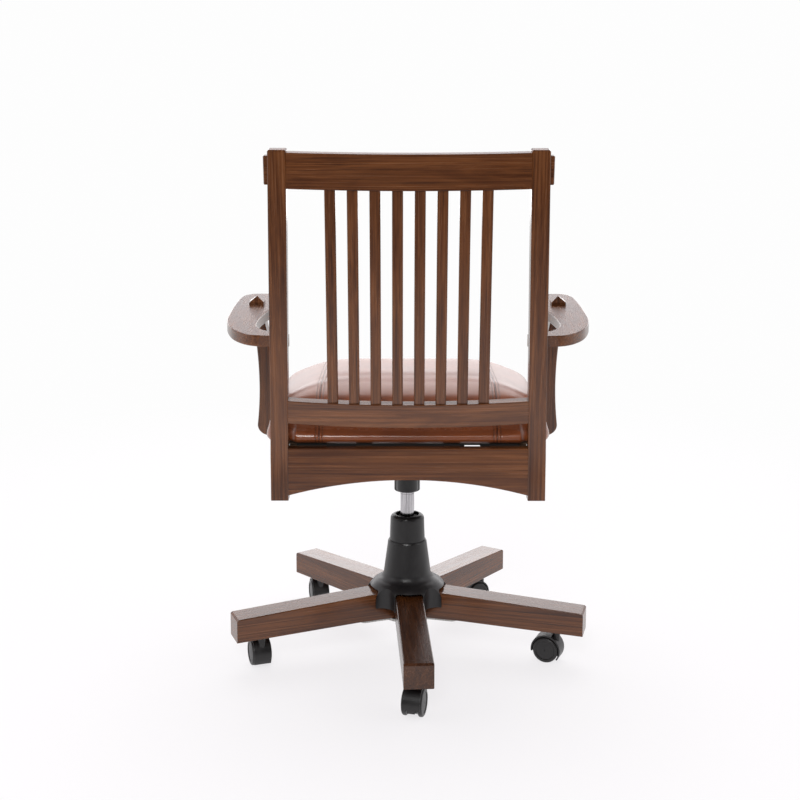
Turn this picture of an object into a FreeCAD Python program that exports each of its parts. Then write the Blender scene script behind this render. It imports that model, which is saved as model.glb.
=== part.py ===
import FreeCAD, Part
import math
import os

# Wooden swivel arm chair. Sizes in millimetres, angles in degrees. Z is up, the floor is at Z = 0,
# the column stands on the Z axis and the sitter faces -Y, so the sitter's left is at +X.

# Clearances
running_gap = 0.05       # radial, a shaft that turns or slides in its bore
joint_gap = 0.1          # glued, pressed and screwed joints
soft_gap = 0.4           # leather beside wood

# Five-leg base
leg_count = 5
base_turn = 3.0          # how far the base stands turned under the seat
leg_reach = 363.0        # column axis to the end face of a leg
leg_width = 55.0
leg_tip_bottom = 65.0
leg_tip_height = 46.6
leg_root_radius = 75.0
leg_root_bottom = 73.0
leg_root_height = 55.0
leg_flat_radius = 118.0  # the underside is level as far out as this
leg_edge = 2.0
leg_tip_bevel = 3.5

# Steel hub under the legs
hub_radius = 30.0
hub_collar_radius = 36.0
hub_collar_top = 139.0
hub_top = 146.0
hub_plate_radius = 52.0
hub_arm_reach = 106.0
hub_arm_width = 40.0
hub_plate = 5.0
leg_bolt_radius = 4.0
leg_bolt_head = 5.0
leg_bolt_length = 34.0
leg_bolt_places = (60.0, 92.0)

# Moulded hub cover and column sleeve
cover_wall = 2.5
cover_reach = 83.9
cover_skirt_bottom = 99.0
cover_shoulder = 37.0    # radius of the rounded shoulder
cover_shoulder_z = 111.5
cover_shoulder_start = 20.0
cover_waist_radius = 47.8
cover_waist_z = 160.8
cover_neck_radius = 39.3
cover_top = 227.0
cover_rim_bevel = 1.5
cover_flute_radius = 28.0
cover_flute_place = 97.8
cover_leg_gap = 0.6
cover_arch_rise = 7.0    # air between the top of a leg and its arch
cover_arch_corner = 7.0
sleeve_radius = 34.2      # under its rounded top
sleeve_foot_radius = 35.9
sleeve_wall = 2.5
sleeve_top = 280.0
sleeve_round = 9.0
sleeve_mouth_radius = 24.0

# Gas lift
tube_radius = 25.0
tube_foot_radius = 23.6
tube_wall = 1.5
tube_bottom = 60.0
tube_floor = 3.0
tube_top = 270.0
bush_length = 78.0
bush_rim = 3.0
cylinder_radius = 14.0
cylinder_bore = 11.0
cylinder_bottom = 144.0
cylinder_gland = 8.0
cylinder_top = 374.0
cylinder_cap = 14.0
cylinder_groove_drop = 51.0
cylinder_groove_z = cylinder_top - cylinder_groove_drop
cylinder_groove = 1.6
rod_radius = 5.0
rod_collar_radius = 9.0
rod_collar = 4.0
piston_bottom = 230.0
piston_height = 14.0
bearing_radius = 16.0
bearing_height = 8.0
clip_radius = 10.0
clip_height = 2.0
pin_radius = 4.0
pin_length = 16.0
pin_rise = 6.0           # release pin above the top of the cylinder

# Tilt mechanism
boss_radius = 22.0
boss_drop = 46.0         # end of the boss below the top of the cylinder
boss_bottom = cylinder_top - boss_drop
boss_round = 4.0
housing_half_width = 40.0
housing_wall = 4.0
cylinder_grip = 12.0     # the cylinder stands this far above the housing's floor
housing_floor_z = cylinder_top - cylinder_grip
housing_front = -116.0
housing_back = 45.0
housing_end_rise = 30.0
housing_end_z = housing_floor_z + housing_end_rise
tilt_y = -45.0
tilt_rise = 50.0         # tilt pin above the housing's floor
tilt_z = housing_floor_z + tilt_rise
tilt_cheek = 11.0        # metal round the tilt pin
tilt_pin_radius = 6.0
tilt_pin_head = 3.0
spring_wire = 4.4
spring_turns = 7
spring_leg = 26.0
knob_y = -84.0
knob_radius = 27.0
knob_drop = 55.0
knob_bottom = housing_floor_z - knob_drop
knob_height = 46.0
knob_flutes = 12
knob_flute_radius = 4.0
knob_stud_radius = 6.0
knob_stud_rise = 28.0
knob_stud_top = housing_floor_z + knob_stud_rise
lever_width = 14.0
lever_thickness = 5.0
lever_tip_x = -248.0
lever_drop = 17.0
lever_paddle_length = 62.0
lever_paddle_width = 28.0
lever_paddle_thickness = 8.0
lever_swing = 4.0        # how far the lever turns
plate_half_width = 100.0
plate_front = -118.0
plate_back = 100.0
plate_thickness = 3.5
plate_ear = 4.0
plate_ear_half_length = 30.0
plate_bolt_radius = 3.0
plate_bolt_head = 5.0
plate_bolt_length = 26.0
plate_bolt_rows = (-75.0, 70.0)

# Seat frame
frame_rise = 60.0        # seat frame above the tilt pin
frame_top = tilt_z + frame_rise
rear_apron_height = 88.0
rear_apron_bottom = frame_top - rear_apron_height
apron_arch = 29.0
apron_thickness = 22.0
apron_recess = 2.0
side_rail_height = 59.0
side_rail_bottom = frame_top - side_rail_height
side_rail_rear_x = 249.0
side_rail_front_x = 270.0
frame_front = -232.0
front_arch = 12.0
bearer_half_gap = 66.0
bearer_width = 30.0
bearer_height = 36.0
block_half_gap = 150.0   # between the corner blocks behind the rear apron
block_width = 20.0
block_height = 30.0
board_thickness = 15.0
board_rear = 205.0
board_front = -216.0
board_rear_half = 242.0
board_front_half = 247.0

# Leather cushion
cushion_rear = 222.0
cushion_front = -240.0
cushion_rear_half = 266.0
cushion_front_half = 271.0
cushion_tongue_half = 211.0
cushion_gap = 2.5        # edge of the cushion above the frame
cushion_bottom = frame_top + cushion_gap
cushion_corner = 46.0
# height of a level section above the bottom, and how far it is drawn in
cushion_sections = ((0.0, 7.0), (10.0, 1.0), (25.0, 0.0), (46.0, 5.0), (64.0, 17.0), (78.0, 36.0),
                    (90.5, 68.0), (101.5, 112.0), (106.5, 160.0))

# Back
post_half_span = 251.0   # to the outer face of a post at its foot
post_width = 32.0
post_depth = 28.0
post_back = 245.0
post_foot_drop = 97.0
post_bottom = frame_top - post_foot_drop
post_bend_rise = 2.0
post_bend_z = frame_top + post_bend_rise
post_bend_radius = 620.0
post_length = 543.0      # above the bend, along the rake
post_rake = 9.0
post_lean = 1.0
post_lean_drop = 18.0
post_lean_z = frame_top - post_lean_drop
post_bevel = 2.5
wood_edge = 1.2
rail_thickness = 23.0
rail_bow = 22.0
rail_recess = 2.0
rail_bite = 2.0          # how far the bow of a rail runs on into a post
rail_half_chord = post_half_span - post_width + rail_bite
crest_bottom = 476.0     # above the bend, along the rake
crest_height = 62.5
crest_tenon_height = 50.0
crest_tenon_proud = 7.0
tenon_thickness = 12.0
tenon_overlap = 14.0
tenon_bevel = 1.5
lower_rail_bottom = 46.0
lower_rail_height = 43.5
lower_tenon_height = 30.0
lower_tenon_depth = 16.0
slat_count = 8
slat_pitch = 38.7
slat_width = 18.9
slat_thickness = 11.0
slat_tenon = 8.0
slat_inset = 4.0         # rear face of a slat in front of the rails' rear faces

# Arms
arm_rear_y = 250.0
arm_rise = 209.0
arm_top_z = frame_top + arm_rise     # at the rear edge
arm_thickness = 21.0
arm_slope = 5.0
arm_edge = 2.5
arm_half_span = 347.5    # to the outermost point of an arm
arm_front = -142.0
arm_tenon_across = 0.664  # share of the way from the post to the outermost point
arm_tenon_y = -33.0
arm_tenon_side = 29.0
arm_tenon_plinth = 6.0
arm_tenon_point = 11.0
support_depth = 44.0
support_edge = 3.0
support_stand_off = 39.7  # outer face of a support from the side rail
support_width = 27.0
support_clearance = 4.0  # between a support and the side of the cushion
support_foot_rise = 20.6  # foot of a support above the lower edge of the side rail

# Casters
caster_set_back = 55.0
caster_radius = leg_reach - caster_set_back     # column axis to a caster's swivel axis
caster_headings = (345.0, 247.0, 300.0, 195.0, 200.0)
wheel_radius = 25.5
wheel_inner_x = 11.0
wheel_outer_x = 19.4
wheel_round = 3.5
wheel_face_recess = 1.4
wheel_dome = 1.0
caster_trail = 18.0
hood_gap = 1.5
hood_wall = 3.0
hood_half_width = 16.8
hood_web_half = 7.0
hood_web_rise = 4.5      # the middle of a hood above the floor
hood_trailing_end = -10.0
hood_leading_end = 217.0
hood_collar_radius = 7.5
stem_radius = 5.5
stem_bottom = 31.0
stem_top = 102.0
axle_radius = 4.0
axle_half_length = 16.0
socket_wall = 2.0
socket_flange_radius = 11.0
socket_flange = 2.5
socket_flange_bottom = 64.4

V = FreeCAD.Vector
origin = V(0, 0, 0)
up = V(0, 0, 1)
along_x = V(1, 0, 0)


def tan(degrees):
    return math.tan(math.radians(degrees))


def sin(degrees):
    return math.sin(math.radians(degrees))


def cos(degrees):
    return math.cos(math.radians(degrees))


def box(x0, x1, y0, y1, z0, z1):
    return Part.makeBox(x1 - x0, y1 - y0, z1 - z0, V(x0, y0, z0))


def cylinder(radius, z0, z1, x=0.0, y=0.0):
    return Part.makeCylinder(radius, z1 - z0, V(x, y, z0))


def cross_cylinder(radius, x0, x1, y, z):
    return Part.makeCylinder(radius, x1 - x0, V(x0, y, z), along_x)


def outline(start, *steps):
    # A closed wire: a step is an end point, or a pair of a point on the arc and its end point.
    edges = []
    here = start
    for step in steps + (start,):
        via, end = step if isinstance(step, tuple) else (None, step)
        if via is None and here.distanceToPoint(end) > 1e-6:
            edges.append(Part.LineSegment(here, end).toShape())
        elif via is not None:
            edges.append(Part.Arc(here, via, end).toShape())
        here = end
    return Part.Wire(edges)


def biarc(start, start_way, end, end_way):
    # Two arcs that leave one point and reach another along given directions, or a straight line.
    chord = end - start
    both = chord.dot(start_way + end_way)
    spread = 2 * (1 - start_way.dot(end_way))
    if both > 2 * chord.Length - 1e-7:
        return [Part.LineSegment(start, end).toShape()]
    if spread > 1e-9:
        reach = (math.sqrt(both * both + spread * chord.dot(chord)) - both) / spread
    else:
        reach = chord.dot(chord) / (2 * both)
    first = start + start_way * reach
    last = end - end_way * reach
    middle = (first + last) * 0.5
    arcs = []
    for a, corner, b in ((start, first, middle), (middle, last, end)):
        weight = (corner - a).normalize().dot((b - a).normalize())
        via = (a + corner * (2 * weight) + b) * (1 / (2 + 2 * weight))
        arcs.append(Part.Arc(a, via, b).toShape())
    return arcs


def flowing(place, *chains):
    # A closed wire of smooth chains of stations (across, along, heading), joined by straight edges.
    def point(station):
        return place(station[0], station[1])

    def way(station):
        return place(cos(station[2]), sin(station[2])) - place(0, 0)

    edges = []
    for chain, following in zip(chains, chains[1:] + chains[:1]):
        for here, there in zip(chain, chain[1:]):
            edges += biarc(point(here), way(here), point(there), way(there))
        edges.append(Part.LineSegment(point(chain[-1]), point(following[0])).toShape())
    return Part.Wire(edges)


def prism(wire, direction):
    return Part.Face(wire).extrude(direction)


def turned(wire):
    return Part.Face(wire).revolve(origin, up, 360)


def profile(*points):
    # Points (radius, height) of a turned piece.
    return Part.makePolygon([V(r, 0, z) for r, z in points + (points[0],)])


def joined(shapes):
    return shapes[0].fuse(shapes[1:]).removeSplitter() if len(shapes) > 1 else shapes[0]


def edges_where(shape, test):
    return [edge for edge in shape.Edges if test(edge)]


def spans(edge):
    bounds = edge.BoundBox
    return bounds.XLength, bounds.YLength, bounds.ZLength


def moved(shape, x, y, z):
    result = shape.copy()
    result.translate(V(x, y, z))
    return result


def spun(shape, degrees, centre=origin, axis=up):
    result = shape.copy()
    result.rotate(centre, axis, degrees)
    return result


def mirrored(shape):
    return shape.mirror(origin, along_x)


def leg_angle(index):
    return base_turn + index * 360.0 / leg_count


def on_legs(shape):
    return [spun(shape, leg_angle(index)) for index in range(leg_count)]


def leg_top(radius):
    tip = leg_tip_bottom + leg_tip_height
    root = leg_root_bottom + leg_root_height
    return tip + (root - tip) * (leg_reach - radius) / (leg_reach - leg_root_radius)


# Base: one leg points along +Y and is turned to its place.

def caster_socket():
    top = socket_flange_bottom + socket_flange
    sleeve = cylinder(stem_radius + running_gap + socket_wall, top, stem_top + socket_wall)
    flange = cylinder(socket_flange_radius, socket_flange_bottom, top)
    bore = cylinder(stem_radius + running_gap, socket_flange_bottom, stem_top + running_gap)
    return moved(sleeve.fuse(flange).cut(bore), 0, caster_radius, 0)


def socket_recess():
    top = socket_flange_bottom + socket_flange
    outer = stem_radius + running_gap + socket_wall
    sleeve = cylinder(outer + joint_gap, top, stem_top + socket_wall + joint_gap)
    flange = cylinder(socket_flange_radius + joint_gap, 0, top + joint_gap)
    return moved(sleeve.fuse(flange), 0, caster_radius, 0)


def leg_bolt():
    seat = leg_root_bottom - hub_plate
    head = cylinder(leg_bolt_radius * 1.7, seat - leg_bolt_head, seat)
    shank = cylinder(leg_bolt_radius, seat, seat + leg_bolt_length)
    return head.fuse(shank).removeSplitter()


def leg_bolts():
    bolts = [moved(leg_bolt(), 0, place, 0) for place in leg_bolt_places]
    return [turned_bolt for bolt in bolts for turned_bolt in on_legs(bolt)]


def leg_bolt_holes(bottom, top):
    return [cylinder(leg_bolt_radius + joint_gap, bottom, top, 0, place) for place in leg_bolt_places]


def leg():
    half = leg_width / 2
    inner = hub_radius / 2
    tip_top = leg_tip_bottom + leg_tip_height
    side = outline(V(-half, inner, leg_root_bottom), V(-half, leg_flat_radius, leg_root_bottom),
                   V(-half, leg_reach, leg_tip_bottom), V(-half, leg_reach, tip_top),
                   V(-half, inner, leg_top(inner)))
    beam = prism(side, V(leg_width, 0, 0))
    tip = edges_where(beam, lambda e: spans(e)[1] < 1e-6 and e.CenterOfMass.y > leg_reach - 1e-6
                      and e.CenterOfMass.z > tip_top - 1e-6)
    beam = beam.makeChamfer(leg_tip_bevel, tip)
    long_edges = edges_where(beam, lambda e: spans(e)[0] < 1e-6 and spans(e)[1] > leg_tip_bevel * 2)
    beam = beam.makeFillet(leg_edge, long_edges)
    half_angle = 180.0 / leg_count
    far = leg_reach * 1.5
    apex = joint_gap / 2 / sin(half_angle)
    wedge = outline(V(0, apex, 0), V(-far * tan(half_angle), far + apex, 0),
                    V(far * tan(half_angle), far + apex, 0))
    beam = beam.common(prism(wedge, V(0, 0, leg_top(0) * 2)))
    beam = beam.cut(cylinder(hub_collar_radius + joint_gap, 0, hub_top))
    bolt_top = leg_root_bottom - hub_plate + leg_bolt_length + joint_gap
    return beam.cut([socket_recess()] + leg_bolt_holes(0, bolt_top))


def tube_radius_at(z):
    share = min(max((z - tube_bottom) / (hub_top - tube_bottom), 0.0), 1.0)
    return tube_foot_radius + (tube_radius - tube_foot_radius) * share


def base_hub():
    bottom = leg_root_bottom - hub_plate
    bore = running_gap
    hub = turned(profile((tube_radius_at(bottom) + bore, bottom), (hub_plate_radius, bottom),
                         (hub_plate_radius, leg_root_bottom), (hub_collar_radius, leg_root_bottom),
                         (hub_collar_radius, hub_collar_top), (hub_radius, hub_collar_top),
                         (hub_radius, hub_top), (tube_radius + bore, hub_top)))
    arm = box(-hub_arm_width / 2, hub_arm_width / 2, hub_radius, hub_arm_reach, bottom, leg_root_bottom)
    corners = edges_where(arm, lambda e: spans(e)[2] > hub_plate / 2 and e.CenterOfMass.y > hub_plate_radius)
    arms = on_legs(arm.makeFillet(hub_arm_width / 4, corners))
    holes = [hole for bolt_hole in leg_bolt_holes(0, leg_root_bottom * 1.2)
             for hole in on_legs(bolt_hole)]
    return joined([hub] + arms).cut(holes)


def bell(inset):
    # The cover's form without its flutes and arches, drawn in by a wall.
    reach = cover_reach - inset
    shoulder = cover_shoulder - inset
    top = cover_top - inset
    bottom = cover_skirt_bottom - inset
    rim = V(cover_neck_radius - inset, 0, top - 2 * cover_rim_bevel)
    waist = V(cover_waist_radius - inset, 0, cover_waist_z)

    def on_shoulder(angle):
        return V(reach - shoulder + shoulder * sin(angle), 0, cover_shoulder_z + shoulder * cos(angle))

    start = on_shoulder(cover_shoulder_start)
    # The cone flows into the shoulder over a hollow arc.
    chord = start - waist
    turn = math.degrees((waist - rim).getAngle(V(cos(cover_shoulder_start), 0, -sin(cover_shoulder_start))))
    hollow = (waist + start) / 2 + V(chord.z, 0, -chord.x) * (tan(turn / 4) / 2)
    return turned(outline(V(0, 0, bottom), V(reach, 0, bottom), V(reach, 0, cover_shoulder_z),
                          (on_shoulder(45 + cover_shoulder_start / 2), start), (hollow, waist), rim,
                          V(rim.x - cover_rim_bevel, 0, top), V(0, 0, top)))


def flutes(grow):
    flute = cylinder(cover_flute_radius + grow, 0, cover_top * 2, 0, cover_flute_place)
    return [spun(flute, leg_angle(index) + 180.0 / leg_count) for index in range(leg_count)]


def cover_arch():
    half = leg_width / 2 + cover_leg_gap
    top = leg_top(cover_reach) + cover_arch_rise
    corner = cover_arch_corner
    bend = corner * (1 - cos(45))
    wire = outline(V(-half, 0, 0), V(half, 0, 0), V(half, 0, top - corner),
                   (V(half - bend, 0, top - bend), V(half - corner, 0, top)), V(corner - half, 0, top),
                   (V(bend - half, 0, top - bend), V(-half, 0, top - corner)))
    return prism(wire, V(0, cover_reach * 1.5, 0))


def hub_cover():
    shell = bell(0).cut(flutes(0)).cut(bell(cover_wall).cut(flutes(cover_wall)))
    mouth = cylinder(sleeve_foot_radius + joint_gap, cover_waist_z, cover_top * 2)
    return shell.cut(on_legs(cover_arch()) + [mouth])


def column_sleeve():
    bend = sleeve_round * (1 - cos(45))
    inner = sleeve_radius - sleeve_wall
    shoulder = sleeve_top - sleeve_round
    under = sleeve_top - sleeve_wall
    inside = sleeve_foot_radius - sleeve_wall
    lip = cover_top - cover_wall
    return turned(outline(V(inside, 0, hub_collar_top), V(sleeve_foot_radius, 0, hub_collar_top),
                          V(sleeve_foot_radius, 0, lip), V(sleeve_radius, 0, shoulder),
                          (V(sleeve_radius - bend, 0, sleeve_top - bend),
                           V(sleeve_radius - sleeve_round, 0, sleeve_top)),
                          V(sleeve_mouth_radius, 0, sleeve_top), V(sleeve_mouth_radius, 0, under),
                          V(inner - sleeve_wall, 0, under), V(inner, 0, under - sleeve_wall),
                          V(inside, 0, lip)))


# Gas lift

def column_tube():
    inner = tube_foot_radius - tube_wall
    hole = rod_radius + running_gap
    return turned(profile((hole, tube_bottom), (tube_foot_radius, tube_bottom),
                          (tube_radius, hub_top), (tube_radius, tube_top), (inner, tube_top),
                          (inner, tube_bottom + tube_floor), (hole, tube_bottom + tube_floor)))


def column_bush():
    outer = tube_foot_radius - tube_wall - joint_gap
    bore = cylinder_radius + running_gap
    return turned(profile((bore, tube_top - bush_length), (outer, tube_top - bush_length),
                          (outer, tube_top), (tube_radius - tube_wall, tube_top),
                          (tube_radius - tube_wall, tube_top + bush_rim), (bore, tube_top + bush_rim)))


def thrust_bearing():
    bottom = tube_bottom + tube_floor
    bore = rod_radius + running_gap
    step = bearing_height / 4
    waist = bearing_radius - step
    return turned(profile((bore, bottom), (bearing_radius, bottom), (bearing_radius, bottom + step),
                          (waist, bottom + step), (waist, bottom + 3 * step),
                          (bearing_radius, bottom + 3 * step), (bearing_radius, bottom + bearing_height),
                          (bore, bottom + bearing_height)))


def gas_rod():
    collar = tube_bottom + tube_floor + bearing_height + running_gap
    foot = tube_bottom - running_gap - 2 * clip_height
    piston = cylinder_bore - running_gap
    return turned(profile((0, foot), (rod_radius, foot), (rod_radius, collar),
                          (rod_collar_radius, collar), (rod_collar_radius, collar + rod_collar),
                          (rod_radius, collar + rod_collar), (rod_radius, piston_bottom),
                          (piston, piston_bottom), (piston, piston_bottom + piston_height),
                          (0, piston_bottom + piston_height)))


def retaining_clip():
    top = tube_bottom - running_gap
    ring = cylinder(clip_radius, top - clip_height, top)
    ring = ring.cut(cylinder(rod_radius + running_gap, 0, tube_top))
    slot = box(-clip_radius / 4, clip_radius / 4, rod_radius, clip_radius * 2, 0, tube_top)
    return ring.cut(slot)


def gas_cylinder():
    low = cylinder_bottom + cylinder_gland
    high = cylinder_top - cylinder_cap
    body = turned(profile((rod_radius + running_gap, cylinder_bottom), (cylinder_radius, cylinder_bottom),
                          (cylinder_radius, cylinder_top), (pin_radius + running_gap, cylinder_top),
                          (pin_radius + running_gap, high), (cylinder_bore, high), (cylinder_bore, low),
                          (rod_radius + running_gap, low)))
    ring = cylinder(cylinder_radius * 2, cylinder_groove_z, cylinder_groove_z + cylinder_groove)
    return body.cut(ring.cut(cylinder(cylinder_radius - cylinder_groove / 2, 0, cylinder_top)))


def release_pin():
    return cylinder(pin_radius, cylinder_top + pin_rise - pin_length, cylinder_top + pin_rise)


# Tilt mechanism

def lever_z():
    # Middle of the lever bar, which lies just above the release pin.
    return cylinder_top + pin_rise + 2 * joint_gap + lever_thickness / 2


def lever_slot():
    # The bar rocks about the middle of the cheek.
    room = lever_thickness / cos(lever_swing) + housing_wall * tan(lever_swing) + 2 * soft_gap
    half = lever_width / 2 + soft_gap
    return box(-housing_half_width * 1.2, -housing_half_width / 2, -half, half,
               lever_z() - room / 2, lever_z() + room / 2)


def tilt_housing():
    floor_top = housing_floor_z + housing_wall
    cheek_top = tilt_z + tilt_cheek
    shoulder = tilt_pin_radius + tilt_cheek
    side = outline(V(-housing_half_width, housing_front, housing_floor_z),
                   V(-housing_half_width, housing_back, housing_floor_z),
                   V(-housing_half_width, housing_back, housing_end_z),
                   V(-housing_half_width, tilt_y + shoulder, cheek_top),
                   V(-housing_half_width, tilt_y - shoulder, cheek_top),
                   V(-housing_half_width, housing_front, housing_end_z))
    channel = prism(side, V(2 * housing_half_width, 0, 0))
    inner = housing_half_width - housing_wall
    channel = channel.cut(box(-inner, inner, housing_front + housing_wall, housing_back - housing_wall,
                              floor_top, cheek_top * 2))
    boss = cylinder(boss_radius, boss_bottom, housing_floor_z)
    rim = edges_where(boss, lambda e: abs(e.CenterOfMass.z - boss_bottom) < 1e-6)
    boss = boss.makeFillet(boss_round, rim)
    bore = cylinder(cylinder_radius + running_gap, 0, cheek_top)
    stud = cylinder(knob_stud_radius + running_gap, 0, cheek_top, 0, knob_y)
    pin = cross_cylinder(tilt_pin_radius + running_gap, -housing_half_width * 2, housing_half_width * 2,
                         tilt_y, tilt_z)
    return channel.fuse(boss).removeSplitter().cut([bore, stud, pin, lever_slot()])


def tilt_pin():
    reach = housing_half_width + plate_ear + 5 * joint_gap
    shank = cross_cylinder(tilt_pin_radius, -reach, reach, tilt_y, tilt_z)
    heads = [cross_cylinder(tilt_pin_radius * 1.5, x, x + tilt_pin_head, tilt_y, tilt_z)
             for x in (-reach - tilt_pin_head, reach)]
    return joined([shank] + heads)


def tilt_spring():
    # Torsion spring round the tilt pin, both ends running back.
    wire = spring_wire / 2
    coil = tilt_pin_radius + 2 * soft_gap + wire
    pitch = spring_wire + 2 * soft_gap
    left = -spring_turns * pitch / 2
    quarter = math.pi / 2

    def point(angle):
        return V(left + pitch * angle / (2 * math.pi), tilt_y - coil * math.sin(angle),
                 tilt_z - coil * math.cos(angle))

    def way(angle):
        step = V(pitch / (2 * math.pi), -coil * math.cos(angle), coil * math.sin(angle))
        return step.normalize()

    count = spring_turns * 4 + 2
    edges = [Part.LineSegment(point(0) - way(0) * spring_leg, point(0)).toShape()]
    for step in range(count):
        a, b = step * quarter, (step + 1) * quarter
        edges += biarc(point(a), way(a), point(b), way(b))
    last = count * quarter
    edges.append(Part.LineSegment(point(last), point(last) + way(last) * spring_leg).toShape())
    start = point(0) - way(0) * spring_leg
    samples = [point(last * share / 400) for share in range(401)]
    turn = int(400 / (spring_turns + 0.5) / 2)
    gap = min(a.distanceToPoint(b) for index, a in enumerate(samples) for b in samples[index + turn:])
    print("least gap between the turns of the spring:", round(gap - spring_wire, 2), "mm")
    section = Part.Wire([Part.Circle(start, way(0), wire).toShape()])
    return Part.Wire(edges).makePipeShell([section], True, False)


def tension_knob():
    top = knob_bottom + knob_height
    cup = cylinder(knob_radius, knob_bottom, top, 0, knob_y)
    ends = edges_where(cup, lambda e: spans(e)[2] < 1e-6)
    cup = cup.makeFillet(knob_stud_radius / 2, ends)
    grips = []
    for index in range(knob_flutes):
        angle = index * 360.0 / knob_flutes
        flute = cylinder(knob_flute_radius, 0, top * 2, 0, knob_radius + knob_flute_radius * 0.6)
        grips.append(moved(spun(flute, angle), 0, knob_y, 0))
    stud = cylinder(knob_stud_radius, top - knob_stud_radius, knob_stud_top, 0, knob_y)
    return cup.cut(grips).fuse(stud).removeSplitter()


def lift_lever():
    half = lever_width / 2
    low = lever_z() - lever_thickness / 2
    inner = pin_radius * 1.5
    outside = -housing_half_width - 2 * housing_wall
    drop = lever_drop
    bar = prism(outline(V(inner, -half, low), V(outside, -half, low), V(lever_tip_x, -half, low - drop),
                        V(lever_tip_x, -half, low - drop + lever_thickness),
                        V(outside, -half, low + lever_thickness), V(inner, -half, low + lever_thickness)),
                V(0, lever_width, 0))
    slope = math.degrees(math.atan2(drop, outside - lever_tip_x))
    paddle = box(-lever_paddle_length, lever_paddle_width / 2, -lever_paddle_width / 2,
                 lever_paddle_width / 2, -lever_paddle_thickness / 2, lever_paddle_thickness / 2)
    corners = edges_where(paddle, lambda e: spans(e)[2] > lever_paddle_thickness / 2)
    paddle = paddle.makeFillet(lever_paddle_width * 0.4, corners)
    rims = edges_where(paddle, lambda e: spans(e)[2] < 1e-6)
    paddle = paddle.makeFillet(lever_paddle_thickness * 0.3, rims)
    middle = low + lever_thickness / 2 - drop
    paddle = moved(spun(paddle, -slope, origin, V(0, 1, 0)), lever_tip_x + lever_paddle_length / 2, 0, middle)
    return bar.fuse(paddle).removeSplitter()


def plate_bottom():
    return frame_top - bearer_height - plate_thickness


def plate_bolt_spots():
    x = bearer_half_gap + bearer_width / 2
    return [(side * x, y) for side in (-1, 1) for y in plate_bolt_rows]


def plate_bolts():
    seat = plate_bottom()
    bolts = []
    for x, y in plate_bolt_spots():
        head = cylinder(plate_bolt_radius * 1.8, seat - plate_bolt_head, seat, x, y)
        bolts.append(head.fuse(cylinder(plate_bolt_radius, seat, seat + plate_bolt_length, x, y)))
    return [bolt.removeSplitter() for bolt in bolts]


def plate_bolt_holes():
    return [cylinder(plate_bolt_radius + joint_gap, 0, plate_bottom() + plate_bolt_length + joint_gap, x, y)
            for x, y in plate_bolt_spots()]


def seat_plate():
    low = plate_bottom()
    flat = box(-plate_half_width, plate_half_width, plate_front, plate_back, low, low + plate_thickness)
    corners = edges_where(flat, lambda e: spans(e)[2] > plate_thickness / 2)
    flat = flat.makeFillet(plate_ear * 3, corners)
    ear_x = housing_half_width + 3 * joint_gap
    foot = tilt_z - tilt_pin_radius - tilt_cheek / 2
    half = plate_ear_half_length
    nose = half / 2
    ear = outline(V(ear_x, tilt_y - half, low), V(ear_x, tilt_y - nose, foot),
                  V(ear_x, tilt_y + nose, foot), V(ear_x, tilt_y + half, low))
    ear = prism(ear, V(plate_ear, 0, 0))
    pin = cross_cylinder(tilt_pin_radius + running_gap, -plate_half_width, plate_half_width, tilt_y, tilt_z)
    return joined([flat, ear, mirrored(ear)]).cut([pin] + plate_bolt_holes())


# Seat frame

def eased(board, test):
    return board.makeChamfer(wood_edge, edges_where(board, test))


def apron(half, y0, y1, bottom, arch):
    wire = outline(V(-half, y0, bottom), (V(0, y0, bottom + arch), V(half, y0, bottom)),
                   V(half, y0, frame_top), V(-half, y0, frame_top))
    return eased(prism(wire, V(0, y1 - y0, 0)), lambda e: spans(e)[0] > half)


def rear_apron():
    half = post_half_span - post_width
    back = post_back - apron_recess
    board = apron(half, back - apron_thickness, back, rear_apron_bottom, apron_arch)
    return board.common(between_posts())


def rail_outer_x(y):
    # Outer face of a side rail, which splays towards the front.
    rear = post_back - post_depth
    share = (rear - y) / (rear - frame_front)
    return side_rail_rear_x + (side_rail_front_x - side_rail_rear_x) * share


def side_rail():
    rear = post_back - post_depth - joint_gap
    thick = apron_thickness
    wire = outline(V(rail_outer_x(rear), rear, side_rail_bottom),
                   V(rail_outer_x(frame_front), frame_front, side_rail_bottom),
                   V(rail_outer_x(frame_front) - thick, frame_front, side_rail_bottom),
                   V(rail_outer_x(rear) - thick, rear, side_rail_bottom))
    return eased(prism(wire, V(0, 0, frame_top - side_rail_bottom)), lambda e: spans(e)[1] > thick * 2)


def front_apron():
    half = rail_outer_x(frame_front)
    board = apron(half, frame_front, frame_front + apron_thickness, side_rail_bottom, front_arch)
    inside = outline(*[V(side * (rail_outer_x(y) - apron_thickness - joint_gap), y, 0)
                       for side, y in ((-1, frame_front - 1), (1, frame_front - 1), (1, 0), (-1, 0))])
    return board.common(prism(inside, V(0, 0, frame_top * 2)))


def seat_bearers():
    y0 = frame_front + apron_thickness + joint_gap
    y1 = post_back - apron_recess - apron_thickness - joint_gap
    beam = box(bearer_half_gap, bearer_half_gap + bearer_width, y0, y1, frame_top - bearer_height, frame_top)
    holes = plate_bolt_holes()
    block_end = post_outer_x(frame_top) - post_width - joint_gap
    block = box(block_half_gap, block_end, y1 - block_width, y1,
                frame_top - block_height, frame_top)
    return [beam.cut(holes), mirrored(beam).cut(holes), block, mirrored(block)]


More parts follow.
